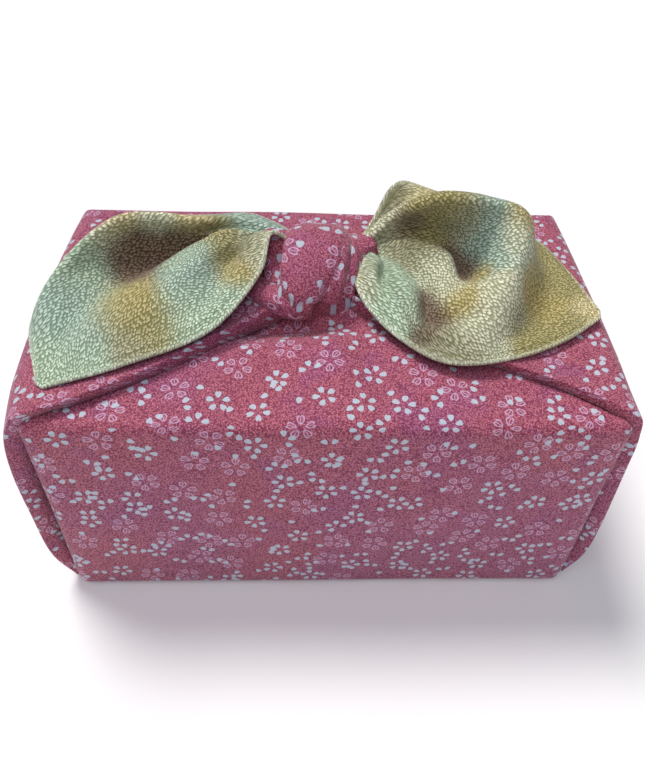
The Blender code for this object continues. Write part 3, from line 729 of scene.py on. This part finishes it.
class MESH_OT_wrap_bundle(bpy.types.Operator):
    """Builds the filled bundle with its rounded edges, drawn-up top and creases"""

    bl_idname = "mesh.wrap_bundle"
    bl_label = "Bundle"

    def execute(self, context):
        sizes = context.scene.wrap_sizes
        size = np.array([sizes.width, sizes.depth, sizes.height])
        work = bmesh.new()
        bmesh.ops.create_cube(work, size=1.0)
        bmesh.ops.subdivide_edges(work, edges=work.edges[:], cuts=BUNDLE_CUTS, use_grid_fill=True)
        unit = np.array([point.co for point in work.verts])
        unit = (1 - EDGE_CROWDING) * unit + EDGE_CROWDING * 0.5 * np.sin(np.pi * unit)
        sharp = (unit + [0, 0, 0.5]) * size
        uv = work.loops.layers.uv.new("cloth")
        work.verts.ensure_lookup_table()
        for face in work.faces:
            face.smooth = True
            side = max(range(3), key=lambda k: abs(face.normal[k]))
            for loop in face.loops:
                x, y, z = sharp[loop.vert.index]
                sign = 1 if face.normal[side] > 0 else -1
                if side == 0:
                    loop[uv].uv = (sign * (size[0] / 2 + y + size[1] / 2), z)
                elif side == 1 and sign < 0:
                    loop[uv].uv = (x, z)
                elif side == 1:
                    loop[uv].uv = (x, 2 * size[2] + size[1] - z)
                else:
                    loop[uv].uv = (x, size[2] + y + size[1] / 2 if sign > 0 else -y - size[1] / 2)
        radius = sizes.edge_radius
        half = size / 2
        centre = np.array([0, 0, half[2]])
        core = np.clip(sharp - centre, radius - half, half - radius)
        out = sharp - centre - core
        out /= np.maximum(np.linalg.norm(out, axis=1, keepdims=True), 1e-9)
        points = centre + core + radius * out
        x, y, z = points.T
        lift = np.clip(z / size[2], 0, 1)
        on_top = np.clip((lift - LID_SHARE) / LID_FADE, 0, 1)
        points[:, 2] += on_top * top_relief(x, y, sizes)
        inward = np.clip(1 - (2 * x / size[0]) ** 2, 0, 1)
        on_face = np.abs(y) > FACE_SHARE * size[1]
        points[:, 1] += on_face * np.sign(y) * sizes.face_crown * inward * 4 * lift * (1 - lift)
        free = np.clip(z / FREE_ABOVE, 0, 1)[:, None]
        points += out * free * (crease_height(points, BUNDLE_CREASES) + slackness(points))[:, None]
        for vert, place in zip(work.verts, points):
            vert.co = place
        mesh = bpy.data.meshes.new("bundle_cloth")
        work.to_mesh(mesh)
        work.free()
        mesh.materials.append(outer_finish(context.scene))
        bundle = bpy.data.objects.new("bundle_cloth", mesh)
        context.scene.collection.objects.link(bundle)
        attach(bundle, BODY)
        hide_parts(OUTER_NODE)
        return {"FINISHED"}


FLAP_ACROSS = 44
FLAP_ALONG = 96
FLAP_TURN_IN = 0.007
FLAP_CREASES = (
    ("left top pull",    (-30, 2, 107),    (-92, 22, 104), 5.0, 0.7),
    ("left side fold",   (-106, -40, 96),  (-108, -18, 30), 7.0, 0.6),
    ("left hollow",      (-106, 10, 96),   (-107, 20, 30), 10.0, -0.8),
    ("left edge pull",   (-98, -48, 104),  (-60, -22, 105), 4.0, -0.6),
    ("right edge pull",  (96, -44, 104),   (58, -18, 105), 5.0, -0.6),
    ("right top pull",   (24, -6, 107),    (88, -20, 104), 5.0, 0.8),
    ("right side fold",  (106, -30, 96),   (107, -20, 26), 9.0, 0.6),
    ("right hollow",     (105, 14, 92),    (106, 22, 24), 10.0, -0.8),
)
FLAP_LIFT = 0.0016
FLAP_LIFT_FROM = -0.55
FLAP_LIFT_ABOVE = 99.0
FLAP_LIFT_OVER = 3
FLAP_FREE_ABOVE = 10 * MM
FLAP_FOLD_STEPS = 5
FLAP_TURN_STEPS = (0.35, 1.0)


class MESH_OT_wrap_flaps(bpy.types.Operator):
    """Builds the two end flaps, folded sheets that rise over the bundle's ends to the knot"""

    bl_idname = "mesh.wrap_flaps"
    bl_label = "End flaps"

    def execute(self, context):
        sizes = context.scene.wrap_sizes
        for name, stations in (("left_flap", LEFT_FLAP), ("right_flap", RIGHT_FLAP)):
            rails = np.array([row[1:] for row in stations], float) * MM
            knots = np.linspace(0, 1, len(stations))
            rails = through(knots, rails, np.linspace(0, 1, FLAP_ALONG))
            front, middle, back = (rails[None, :, k] for k in range(3))
            t = np.linspace(-1, 1, FLAP_ACROSS)[:, None, None]
            outer = front * t * (t - 1) / 2 + middle * (1 - t**2) + back * t * (t + 1) / 2
            inward = FLAP_CENTRE - outer
            inward /= np.linalg.norm(inward, axis=2, keepdims=True)
            sideways = (outer[-1] - outer[0]) / np.linalg.norm(outer[-1] - outer[0], axis=1, keepdims=True)
            near_front = np.clip((FLAP_LIFT_FROM - t[:, :, 0]) / (1 + FLAP_LIFT_FROM), 0, 1) ** 2
            on_top = np.clip(outer[:, :, 2] / MM - FLAP_LIFT_ABOVE, 0, FLAP_LIFT_OVER) / FLAP_LIFT_OVER
            outer[:, :, 2] += FLAP_LIFT * near_front * on_top
            lump = crease_height(outer.reshape(-1, 3), FLAP_CREASES).reshape(outer.shape[:2])
            lump += slackness(outer.reshape(-1, 3)).reshape(outer.shape[:2])
            foot = np.clip(outer[:, :, 2] / FLAP_FREE_ABOVE, 0, 1)
            outer = outer - inward * (lump * foot)[:, :, None]
            rows = self.folded_edge(outer[0], inward[0], -sideways, sizes.flap_fold)[::-1]
            rows += list(outer[1:-1])
            rows += self.folded_edge(outer[-1], inward[-1], sideways, sizes.flap_fold)
            sheet = np.array(rows)
            normal = grid_normals(sheet)
            if (normal[len(sheet) // 2, FLAP_ALONG // 4] @ inward[FLAP_ACROSS // 2, FLAP_ALONG // 4]) > 0:
                normal = -normal
            under = sheet - normal * sizes.cloth
            flap = slab(name, sheet, under, arc_places(sheet), outer_finish(context.scene))
            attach(flap, BODY)
            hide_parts(OUTER_NODE)
        return {"FINISHED"}

    def folded_edge(self, edge, inward, sideways, radius):
        """Rows of points that turn an edge round a soft fold and back in under itself."""
        rows = []
        for turn in np.linspace(0, math.pi / 2, FLAP_FOLD_STEPS):
            bend = math.cos(turn) * -inward + math.sin(turn) * sideways
            rows.append(edge + radius * inward - radius * sideways + radius * bend)
        for reach in FLAP_TURN_STEPS:
            rows.append(rows[FLAP_FOLD_STEPS - 1] + inward * FLAP_TURN_IN * reach)
        return rows


KNOT_CREASES = (
    ("lobe crease",      (-4.5, -4.5, 123),   (-0.5, -8.8, 117), 1.2, -1.7),
    ("lobe hollow",      (-10, 0.5, 125.5),   (-11, -7, 121),    3.0, -0.5),
    ("left tuck above",  (-17.4, -5, 119),    (-15.2, -12, 114), 1.2, -1.5),
    ("left tuck below",  (-15.5, -11.5, 114.5), (-12, -14, 112), 1.2, -1.5),
    ("front tuck",       (-12.6, -14, 112),   (-6, -13, 111.5),  1.1, -1.3),
    ("stem gap",         (-16.5, 8, 122),     (-18, -2, 119),    2.2, -2.4),
)
STRAND_SIDES = 72
STRAND_STEPS = 84
GATHER_DEPTH = 0.00030
GATHERS = 7
GATHER_TWIST = 2.5
OVAL_POWER = 0.85
CROSSWISE = 0.7


def strand(name, places, half_widths, half_depths, finish):
    """A gathered strand of cloth: an oval section with fine gathers, swept along its middle line."""
    knots = np.linspace(0, 1, len(places))
    rows = np.column_stack([np.array(places, float), half_widths, half_depths]) * MM
    rows = through(knots, rows, np.linspace(0, 1, STRAND_STEPS))
    line, wide, deep = rows[:, :3], rows[:, 3], rows[:, 4]
    along = np.gradient(line, axis=0)
    along /= np.linalg.norm(along, axis=1, keepdims=True)
    broad = np.array([1.0, 0, 0]) - along * along[:, :1]
    if abs(along[len(along) // 2, 0]) > CROSSWISE:
        broad = np.array([0, 1.0, 0]) - along * along[:, 1:2]
    broad /= np.linalg.norm(broad, axis=1, keepdims=True)
    out = np.cross(along, broad)
    angle = np.linspace(0, 2 * np.pi, STRAND_SIDES, endpoint=False)
    share = np.linspace(0, 1, STRAND_STEPS)[:, None]
    gather = GATHER_DEPTH * np.sin(GATHERS * angle + GATHER_TWIST * share) * (1 - np.sin(np.pi * share)) ** 0.5
    side = np.sign(np.cos(angle)) * np.abs(np.cos(angle)) ** OVAL_POWER
    top = np.sign(np.sin(angle)) * np.abs(np.sin(angle)) ** OVAL_POWER
    rings = (
        line[:, None]
        + broad[:, None] * ((wide[:, None] + gather) * side)[:, :, None]
        + out[:, None] * ((deep[:, None] + gather) * top)[:, :, None]
    )
    outward = rings - line[:, None]
    outward /= np.linalg.norm(outward, axis=2, keepdims=True)
    crease = crease_height(rings.reshape(-1, 3), KNOT_CREASES).reshape(rings.shape[:2])
    rings += outward * crease[:, :, None]
    faces = []
    for i in range(STRAND_STEPS - 1):
        for j in range(STRAND_SIDES):
            k = (j + 1) % STRAND_SIDES
            a, b = i * STRAND_SIDES, (i + 1) * STRAND_SIDES
            faces.append((a + j, a + k, b + k, b + j))
    faces.append(tuple(range(STRAND_SIDES)))
    faces.append(tuple(range((STRAND_STEPS - 1) * STRAND_SIDES, STRAND_STEPS * STRAND_SIDES)))
    girth = np.pi * float(wide.mean() + deep.mean())
    run = np.concatenate([[0], np.cumsum(np.linalg.norm(np.diff(line, axis=0), axis=1))])
    round_it = girth * np.abs(angle / (2 * np.pi) - 0.5)
    flat = np.dstack(np.meshgrid(round_it, run))
    piece = new_piece(name, rings.reshape(-1, 3), faces, flat.reshape(-1, 2), finish)
    turn_out(piece)
    return piece


class MESH_OT_wrap_knot(bpy.types.Operator):
    """Builds the knot: its broad lobe, pleats, gathers and stems round a hidden heart"""

    bl_idname = "mesh.wrap_knot"
    bl_label = "Knot"

    def execute(self, context):
        finish = outer_finish(context.scene)
        pieces = [strand("knot_" + name, *row, finish) for name, *row in KNOT_STRANDS]
        pieces.append(self.heart(finish))
        for piece in pieces:
            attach(piece, BODY)
            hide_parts(OUTER_NODE)
        return {"FINISHED"}

    def heart(self, finish):
        """The hidden middle of the knot, which the strands wrap."""
        work = bmesh.new()
        bmesh.ops.create_icosphere(work, subdivisions=4, radius=1.0)
        unit = np.array([point.co for point in work.verts])
        faces = [tuple(v.index for v in face.verts) for face in work.faces]
        work.free()
        points = (np.array(HEART_CENTRE) + unit * HEART_RADII) * MM
        return new_piece("knot_heart", points, faces, points[:, :2], finish)


WING_CREASES = {
    "left": (
        ("slit",          (-28.5, 10.5, 121.5), (-35, 5.5, 116),     1.4, -1.2),
        ("throat ridge",  (-31, 15, 122.5),     (-43, 12, 121.5),    1.6, 0.9),
        ("throat valley", (-31, 17.5, 121),     (-46, 16.5, 114.5),  1.6, -1.2),
        ("valley floor",  (-46, 16.5, 114.5),   (-66, 8, 110.5),     3.0, -0.9),
        ("rim crest",     (-49, 18, 125.5),     (-75, 13.5, 128.5),  2.5, 0.6),
        ("belly fold",    (-41, 6, 120.5),      (-54, -8, 117),      3.0, 0.7),
    ),
    "right": (
        ("slit",          (20, 3.5, 118),       (19.5, -1.5, 113.5), 1.2, -0.8),
        ("throat trough", (23, 7, 117.5),       (34, -5, 113),       1.6, -1.3),
        ("collar trough", (34, -5, 113),        (36, -16, 110),      2.0, -0.9),
        ("middle crest",  (26, 12.5, 121),      (43, 4.5, 120.5),    1.8, 1.1),
        ("crest fall",    (43, 4.5, 120.5),     (46.5, -6, 116),     2.0, 0.9),
        ("wall foot",     (26, 15, 120.5),      (46, 10, 116),       1.6, -1.3),
        ("pocket floor",  (36, -17, 109.5),     (33, -26, 109),      3.0, -1.0),
    ),
}
FOLD_STEPS = 8
WING_STEPS = 84
HEM_CROWDING = (0.0, 0.25, 0.5, 0.75)
WINGS = {
    "left": (LEFT_FOLDS, LEFT_TIP, LEFT_STATIONS, LEFT_CORNER_START, LEFT_DYE_AND_LIGHT),
    "right": (RIGHT_FOLDS, RIGHT_TIP, RIGHT_STATIONS, RIGHT_CORNER_START, RIGHT_DYE_AND_LIGHT),
}


def wing_grid(folds, tip, stations, corner_start):
    """The wing's face as a grid of points, across from hem to hem and along from knot to tip."""
    rows = np.array([list(fold[1:]) + [tip] for fold in folds], float) * MM
    places = np.linspace(WING_START, WING_END, WING_STEPS)
    along = through(stations, rows.transpose(1, 0, 2), places)
    across = np.linspace(0, 1, FOLD_STEPS * (len(folds) - 1) + 1)
    step = across[1]
    near_hem = np.array(HEM_CROWDING) * step
    across = np.concatenate([near_hem, across[1:-1], 1 - near_hem[::-1]])
    face = through(np.linspace(0, 1, len(folds)), along.transpose(1, 0, 2), across)
    plain = face[0] + (face[-1] - face[0]) * across[:, None, None]
    ease = np.clip((places - corner_start) / (1 - corner_start), 0, 1)[None, :, None]
    return face + (plain - face) * ease * (2 - ease)


def dyed_and_lit(points, spots):
    """The colour of each point, blended from the tones of the dye spots near it: the cloth's graded dye, with
    painted shade in the valleys and painted highlight on the crests.
    """
    weight = np.zeros((len(points), len(spots)))
    tones = np.array([DYE_AND_LIGHT_TONES[tone] for tone, _, _ in spots])
    for k, (_, place, spread) in enumerate(spots):
        away = np.linalg.norm(points - np.array(place) * MM, axis=1)
        weight[:, k] = np.exp(-((away / (spread * MM)) ** 2)) + 1e-9 / (away + 0.004) ** 2
    weight /= weight.sum(axis=1, keepdims=True)
    return weight @ tones


def hem_distances(face):
    """How far each point of a grid is from the nearer of its two long hems, measured across the grid."""
    steps = np.linalg.norm(np.diff(face, axis=0), axis=2)
    from_front = np.concatenate([np.zeros((1, face.shape[1])), np.cumsum(steps, axis=0)])
    return np.minimum(from_front, from_front[-1] - from_front)


class MESH_OT_wrap_wings(bpy.types.Operator):
    """Builds both wings of the bow: the printed cloth and the dyed lining that it carries, with painted shade
    and highlight in its dye
    """

    bl_idname = "mesh.wrap_wings"
    bl_label = "Wings"

    def execute(self, context):
        sizes = context.scene.wrap_sizes
        for side, (folds, tip, stations, corner_start, spots) in WINGS.items():
            face = wing_grid(folds, tip, stations, corner_start)
            normal = grid_normals(face) * (1 if side == "left" else -1)
            lump = crease_height(face.reshape(-1, 3), WING_CREASES[side]).reshape(face.shape[:2])
            face = face + normal * lump[:, :, None]
            flat = arc_places(face)
            low = face + normal * sizes.layer_gap
            printed = slab(side + "_wing_print", face, face - normal * sizes.cloth, flat,
                           outer_finish(context.scene))
            lining = slab(side + "_wing_lining_cloth", low + normal * sizes.cloth, low, flat,
                          lining_finish(context.scene))
            self.paint(lining.data, face, spots)
            for piece, slot, node in (
                (printed, OUTER_SLOT, OUTER_NODE),
                (lining, LINING_SLOT, side + "_wing_lining"),
            ):
                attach(piece, BODY)
                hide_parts(node)
        return {"FINISHED"}

    def paint(self, mesh, face, spots):
        """Writes the dye, with its painted shade and highlight, and each point's distance from the hem to both
        sides of the lining.
        """
        colours = np.ones((face.shape[0] * face.shape[1], 4), np.float32)
        # The dye holds painted shade in the valleys and painted highlight on the crests as well as the graded
        # dye.
        colours[:, :3] = dyed_and_lit(face.reshape(-1, 3), spots)
        dye_and_light = mesh.color_attributes.new("dye_and_light", "FLOAT_COLOR", "POINT")
        dye_and_light.data.foreach_set("color", np.concatenate([colours, colours]).ravel())
        away = hem_distances(face).ravel().astype(np.float32)
        hem = mesh.attributes.new("hem_distance", "FLOAT", "POINT")
        hem.data.foreach_set("value", np.concatenate([away, away]))


HEM_SIDES = 10


def hem_tree(finish):
    """A Geometry Nodes tree that turns a line into a soft rolled hem edge of slightly uneven thickness."""
    tree = bpy.data.node_groups.new("rolled hem edge", "GeometryNodeTree")
    face = tree.interface
    face.new_socket("Geometry", in_out="INPUT", socket_type="NodeSocketGeometry")
    for name, value in (("Edge radius", 0.0009), ("Unevenness", 0.15), ("Ripple length", 0.004)):
        socket = face.new_socket(name, in_out="INPUT", socket_type="NodeSocketFloat")
        socket.default_value = value
    face.new_socket("Geometry", in_out="OUTPUT", socket_type="NodeSocketGeometry")
    n = Nodes(tree)
    entry = n.add("NodeGroupInput").outputs
    line = n.add("GeometryNodeMeshToCurve", {0: entry["Geometry"]}).outputs[0]
    place = n.add("GeometryNodeInputPosition").outputs[0]
    scale = n.math("DIVIDE", 1.0, entry["Ripple length"])
    ripple = n.noise(place, scale, 1.0)
    swing = n.math("MULTIPLY", n.math("SUBTRACT", ripple, 0.5), entry["Unevenness"])
    thick = n.math("MULTIPLY", entry["Edge radius"], n.math("ADD", 1.0, n.math("MULTIPLY", swing, 2.0)))
    section = n.add("GeometryNodeCurvePrimitiveCircle", {"Resolution": HEM_SIDES, "Radius": 1.0})
    line = n.add("GeometryNodeSetCurveRadius", {"Curve": line, "Radius": thick}).outputs[0]
    swept = n.add("GeometryNodeCurveToMesh", {"Curve": line, "Profile Curve": section.outputs[0],
                                              "Fill Caps": True})
    if "Scale" in swept.inputs:
        n.put(swept.inputs["Scale"], thick)
    made = n.add("GeometryNodeSetMaterial", {0: swept.outputs[0], "Material": finish}).outputs[0]
    made = n.add("GeometryNodeRealizeInstances", {0: made}).outputs[0]
    n.add("NodeGroupOutput", {0: made})
    return tree


class MESH_OT_wrap_hems(bpy.types.Operator):
    """Builds the turned hem edges that run round both wings"""

    bl_idname = "mesh.wrap_hems"
    bl_label = "Hem edges"

    def execute(self, context):
        sizes = context.scene.wrap_sizes
        tree = hem_tree(lining_finish(context.scene))
        ids = {item.name: item.identifier for item in tree.interface.items_tree if item.in_out == "INPUT"}
        for side, (folds, tip, stations, corner_start, spots) in WINGS.items():
            face = wing_grid(folds, tip, stations, corner_start)
            normal = grid_normals(face) * (1 if side == "left" else -1)
            middle = face + normal * sizes.layer_gap
            line = np.concatenate([middle[0], middle[1:-1, -1], middle[-1, ::-1]])
            mesh = bpy.data.meshes.new("hem line")
            mesh.from_pydata([tuple(p) for p in line], [(i, i + 1) for i in range(len(line) - 1)], [])
            guide = bpy.data.objects.new("hem guide", mesh)
            context.scene.collection.objects.link(guide)
            roll = guide.modifiers.new("rolled hem", "NODES")
            roll.node_group = tree
            roll[ids["Edge radius"]] = sizes.hem_radius
            roll[ids["Unevenness"]] = 0.15
            roll[ids["Ripple length"]] = 0.004
            graph = context.evaluated_depsgraph_get()
            made = bpy.data.meshes.new_from_object(guide.evaluated_get(graph), depsgraph=graph)
            bpy.data.objects.remove(guide)
            made.name = side + "_hem"
            hem = bpy.data.objects.new(side + "_hem", made)
            context.scene.collection.objects.link(hem)
            self.colour(made, spots)
            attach(hem, BODY)
            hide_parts(side + "_wing_lining")
        return {"FINISHED"}

    def colour(self, mesh, spots):
        """Gives the hem edge the lining's dye, with its painted shade and highlight, and its own cloth places.
        """
        points = np.array([v.co for v in mesh.vertices])
        colours = np.ones((len(points), 4), np.float32)
        colours[:, :3] = dyed_and_lit(points, spots)
        dye_and_light = mesh.color_attributes.new("dye_and_light", "FLOAT_COLOR", "POINT")
        dye_and_light.data.foreach_set("color", colours.ravel())
        uv = mesh.uv_layers.new(name="cloth")
        for loop in mesh.loops:
            uv.data[loop.index].uv = points[loop.vertex_index][:2]
        mesh.shade_smooth()


FLOOR_RADIUS = 1.6
# Lights: name, where it shines from, strength, softness and colour
SUNS = (
    ("window light", Vector((-0.32, 0.34, 0.95)), 2.35, math.radians(20), (1.0, 0.97, 0.94)),
    ("room light", Vector((-0.12, -0.55, 1.0)), 1.1, math.radians(60), (0.97, 0.95, 1.0)),
)
SKY_COLOUR = (0.82, 0.85, 1.0, 1)
SKY_STRENGTH = 0.19
FLOOR_TONE = 0.93


class SCENE_OT_wrap_stage(bpy.types.Operator):
    """Sets the pale floor, the soft studio light and the camera"""

    bl_idname = "scene.wrap_stage"
    bl_label = "Stage"

    def execute(self, context):
        scene = context.scene
        bpy.ops.mesh.primitive_circle_add(vertices=64, radius=FLOOR_RADIUS, fill_type="NGON")
        floor = context.active_object
        floor.name = "floor"
        paper = bpy.data.materials.new("pale floor")
        paper.use_nodes = True
        shader = paper.node_tree.nodes["Principled BSDF"]
        shader.inputs["Base Color"].default_value = (FLOOR_TONE, FLOOR_TONE, FLOOR_TONE, 1)
        shader.inputs["Roughness"].default_value = 0.9
        floor.data.materials.append(paper)
        world = bpy.data.worlds.new("studio")
        world.use_nodes = True
        sky = world.node_tree.nodes["Background"]
        sky.inputs[0].default_value = SKY_COLOUR
        sky.inputs[1].default_value = SKY_STRENGTH
        scene.world = world
        scene.view_settings.view_transform = "Standard"
        for name, shines_from, strength, softness, colour in SUNS:
            lamp = bpy.data.lights.new(name, "SUN")
            lamp.energy = strength
            lamp.angle = softness
            lamp.color = colour
            stand = bpy.data.objects.new(name, lamp)
            stand.location = shines_from
            stand.rotation_euler = (-shines_from).to_track_quat("-Z", "Y").to_euler()
            scene.collection.objects.link(stand)
        self.camera(scene)
        return {"FINISHED"}

    def camera(self, scene):
        """A camera at the photograph's place, turned by its small roll."""
        flat = math.cos(CAMERA_ELEVATION)
        back = Vector((math.sin(CAMERA_AZIMUTH) * flat, -math.cos(CAMERA_AZIMUTH) * flat,
                       math.sin(CAMERA_ELEVATION)))
        right = (-back).cross(Vector((0, 0, 1))).normalized()
        up = right.cross(-back)
        across = right * math.cos(CAMERA_ROLL) + up * math.sin(CAMERA_ROLL)
        upward = up * math.cos(CAMERA_ROLL) - right * math.sin(CAMERA_ROLL)
        lens = bpy.data.cameras.new("camera")
        lens.sensor_fit = "AUTO"
        lens.sensor_width = SENSOR_MM
        lens.lens = CAMERA_FOCAL_PX * SENSOR_MM / max(PHOTO_WIDTH_PX, PHOTO_HEIGHT_PX)
        lens.clip_start = 0.01
        camera = bpy.data.objects.new("camera", lens)
        place = CAMERA_TARGET + back * CAMERA_DISTANCE
        turn = Matrix((across, upward, back)).transposed()
        camera.matrix_world = Matrix.Translation(place) @ turn.to_4x4()
        scene.collection.objects.link(camera)
        scene.camera = camera


STEPS = (MESH_OT_wrap_bundle, MESH_OT_wrap_flaps, MESH_OT_wrap_knot, MESH_OT_wrap_wings, MESH_OT_wrap_hems,
         SCENE_OT_wrap_stage)


class VIEW3D_PT_wrap(bpy.types.Panel):
    """Lists the wrap's sizes, colours and building steps."""

    bl_label = "Furoshiki wrap"
    bl_space_type = "VIEW_3D"
    bl_region_type = "UI"
    bl_category = "Furoshiki"

    def draw(self, context):
        for group in (context.scene.wrap_sizes, context.scene.wrap_colours):
            for name in group.__annotations__:
                self.layout.prop(group, name)
        for step in STEPS:
            self.layout.operator(step.bl_idname)


CLASSES = (WrapSizes, WrapColours, *STEPS, VIEW3D_PT_wrap)


def register():
    for made in CLASSES:
        bpy.utils.register_class(made)
    bpy.types.Scene.wrap_sizes = PointerProperty(type=WrapSizes)
    bpy.types.Scene.wrap_colours = PointerProperty(type=WrapColours)


def unregister():
    del bpy.types.Scene.wrap_colours
    del bpy.types.Scene.wrap_sizes
    for made in reversed(CLASSES):
        bpy.utils.unregister_class(made)


def main():
    register()
    bpy.ops.mesh.wrap_bundle()
    bpy.ops.mesh.wrap_flaps()
    bpy.ops.mesh.wrap_knot()
    bpy.ops.mesh.wrap_wings()
    bpy.ops.mesh.wrap_hems()
    bpy.ops.scene.wrap_stage()


if __name__ == "__main__":
    main()
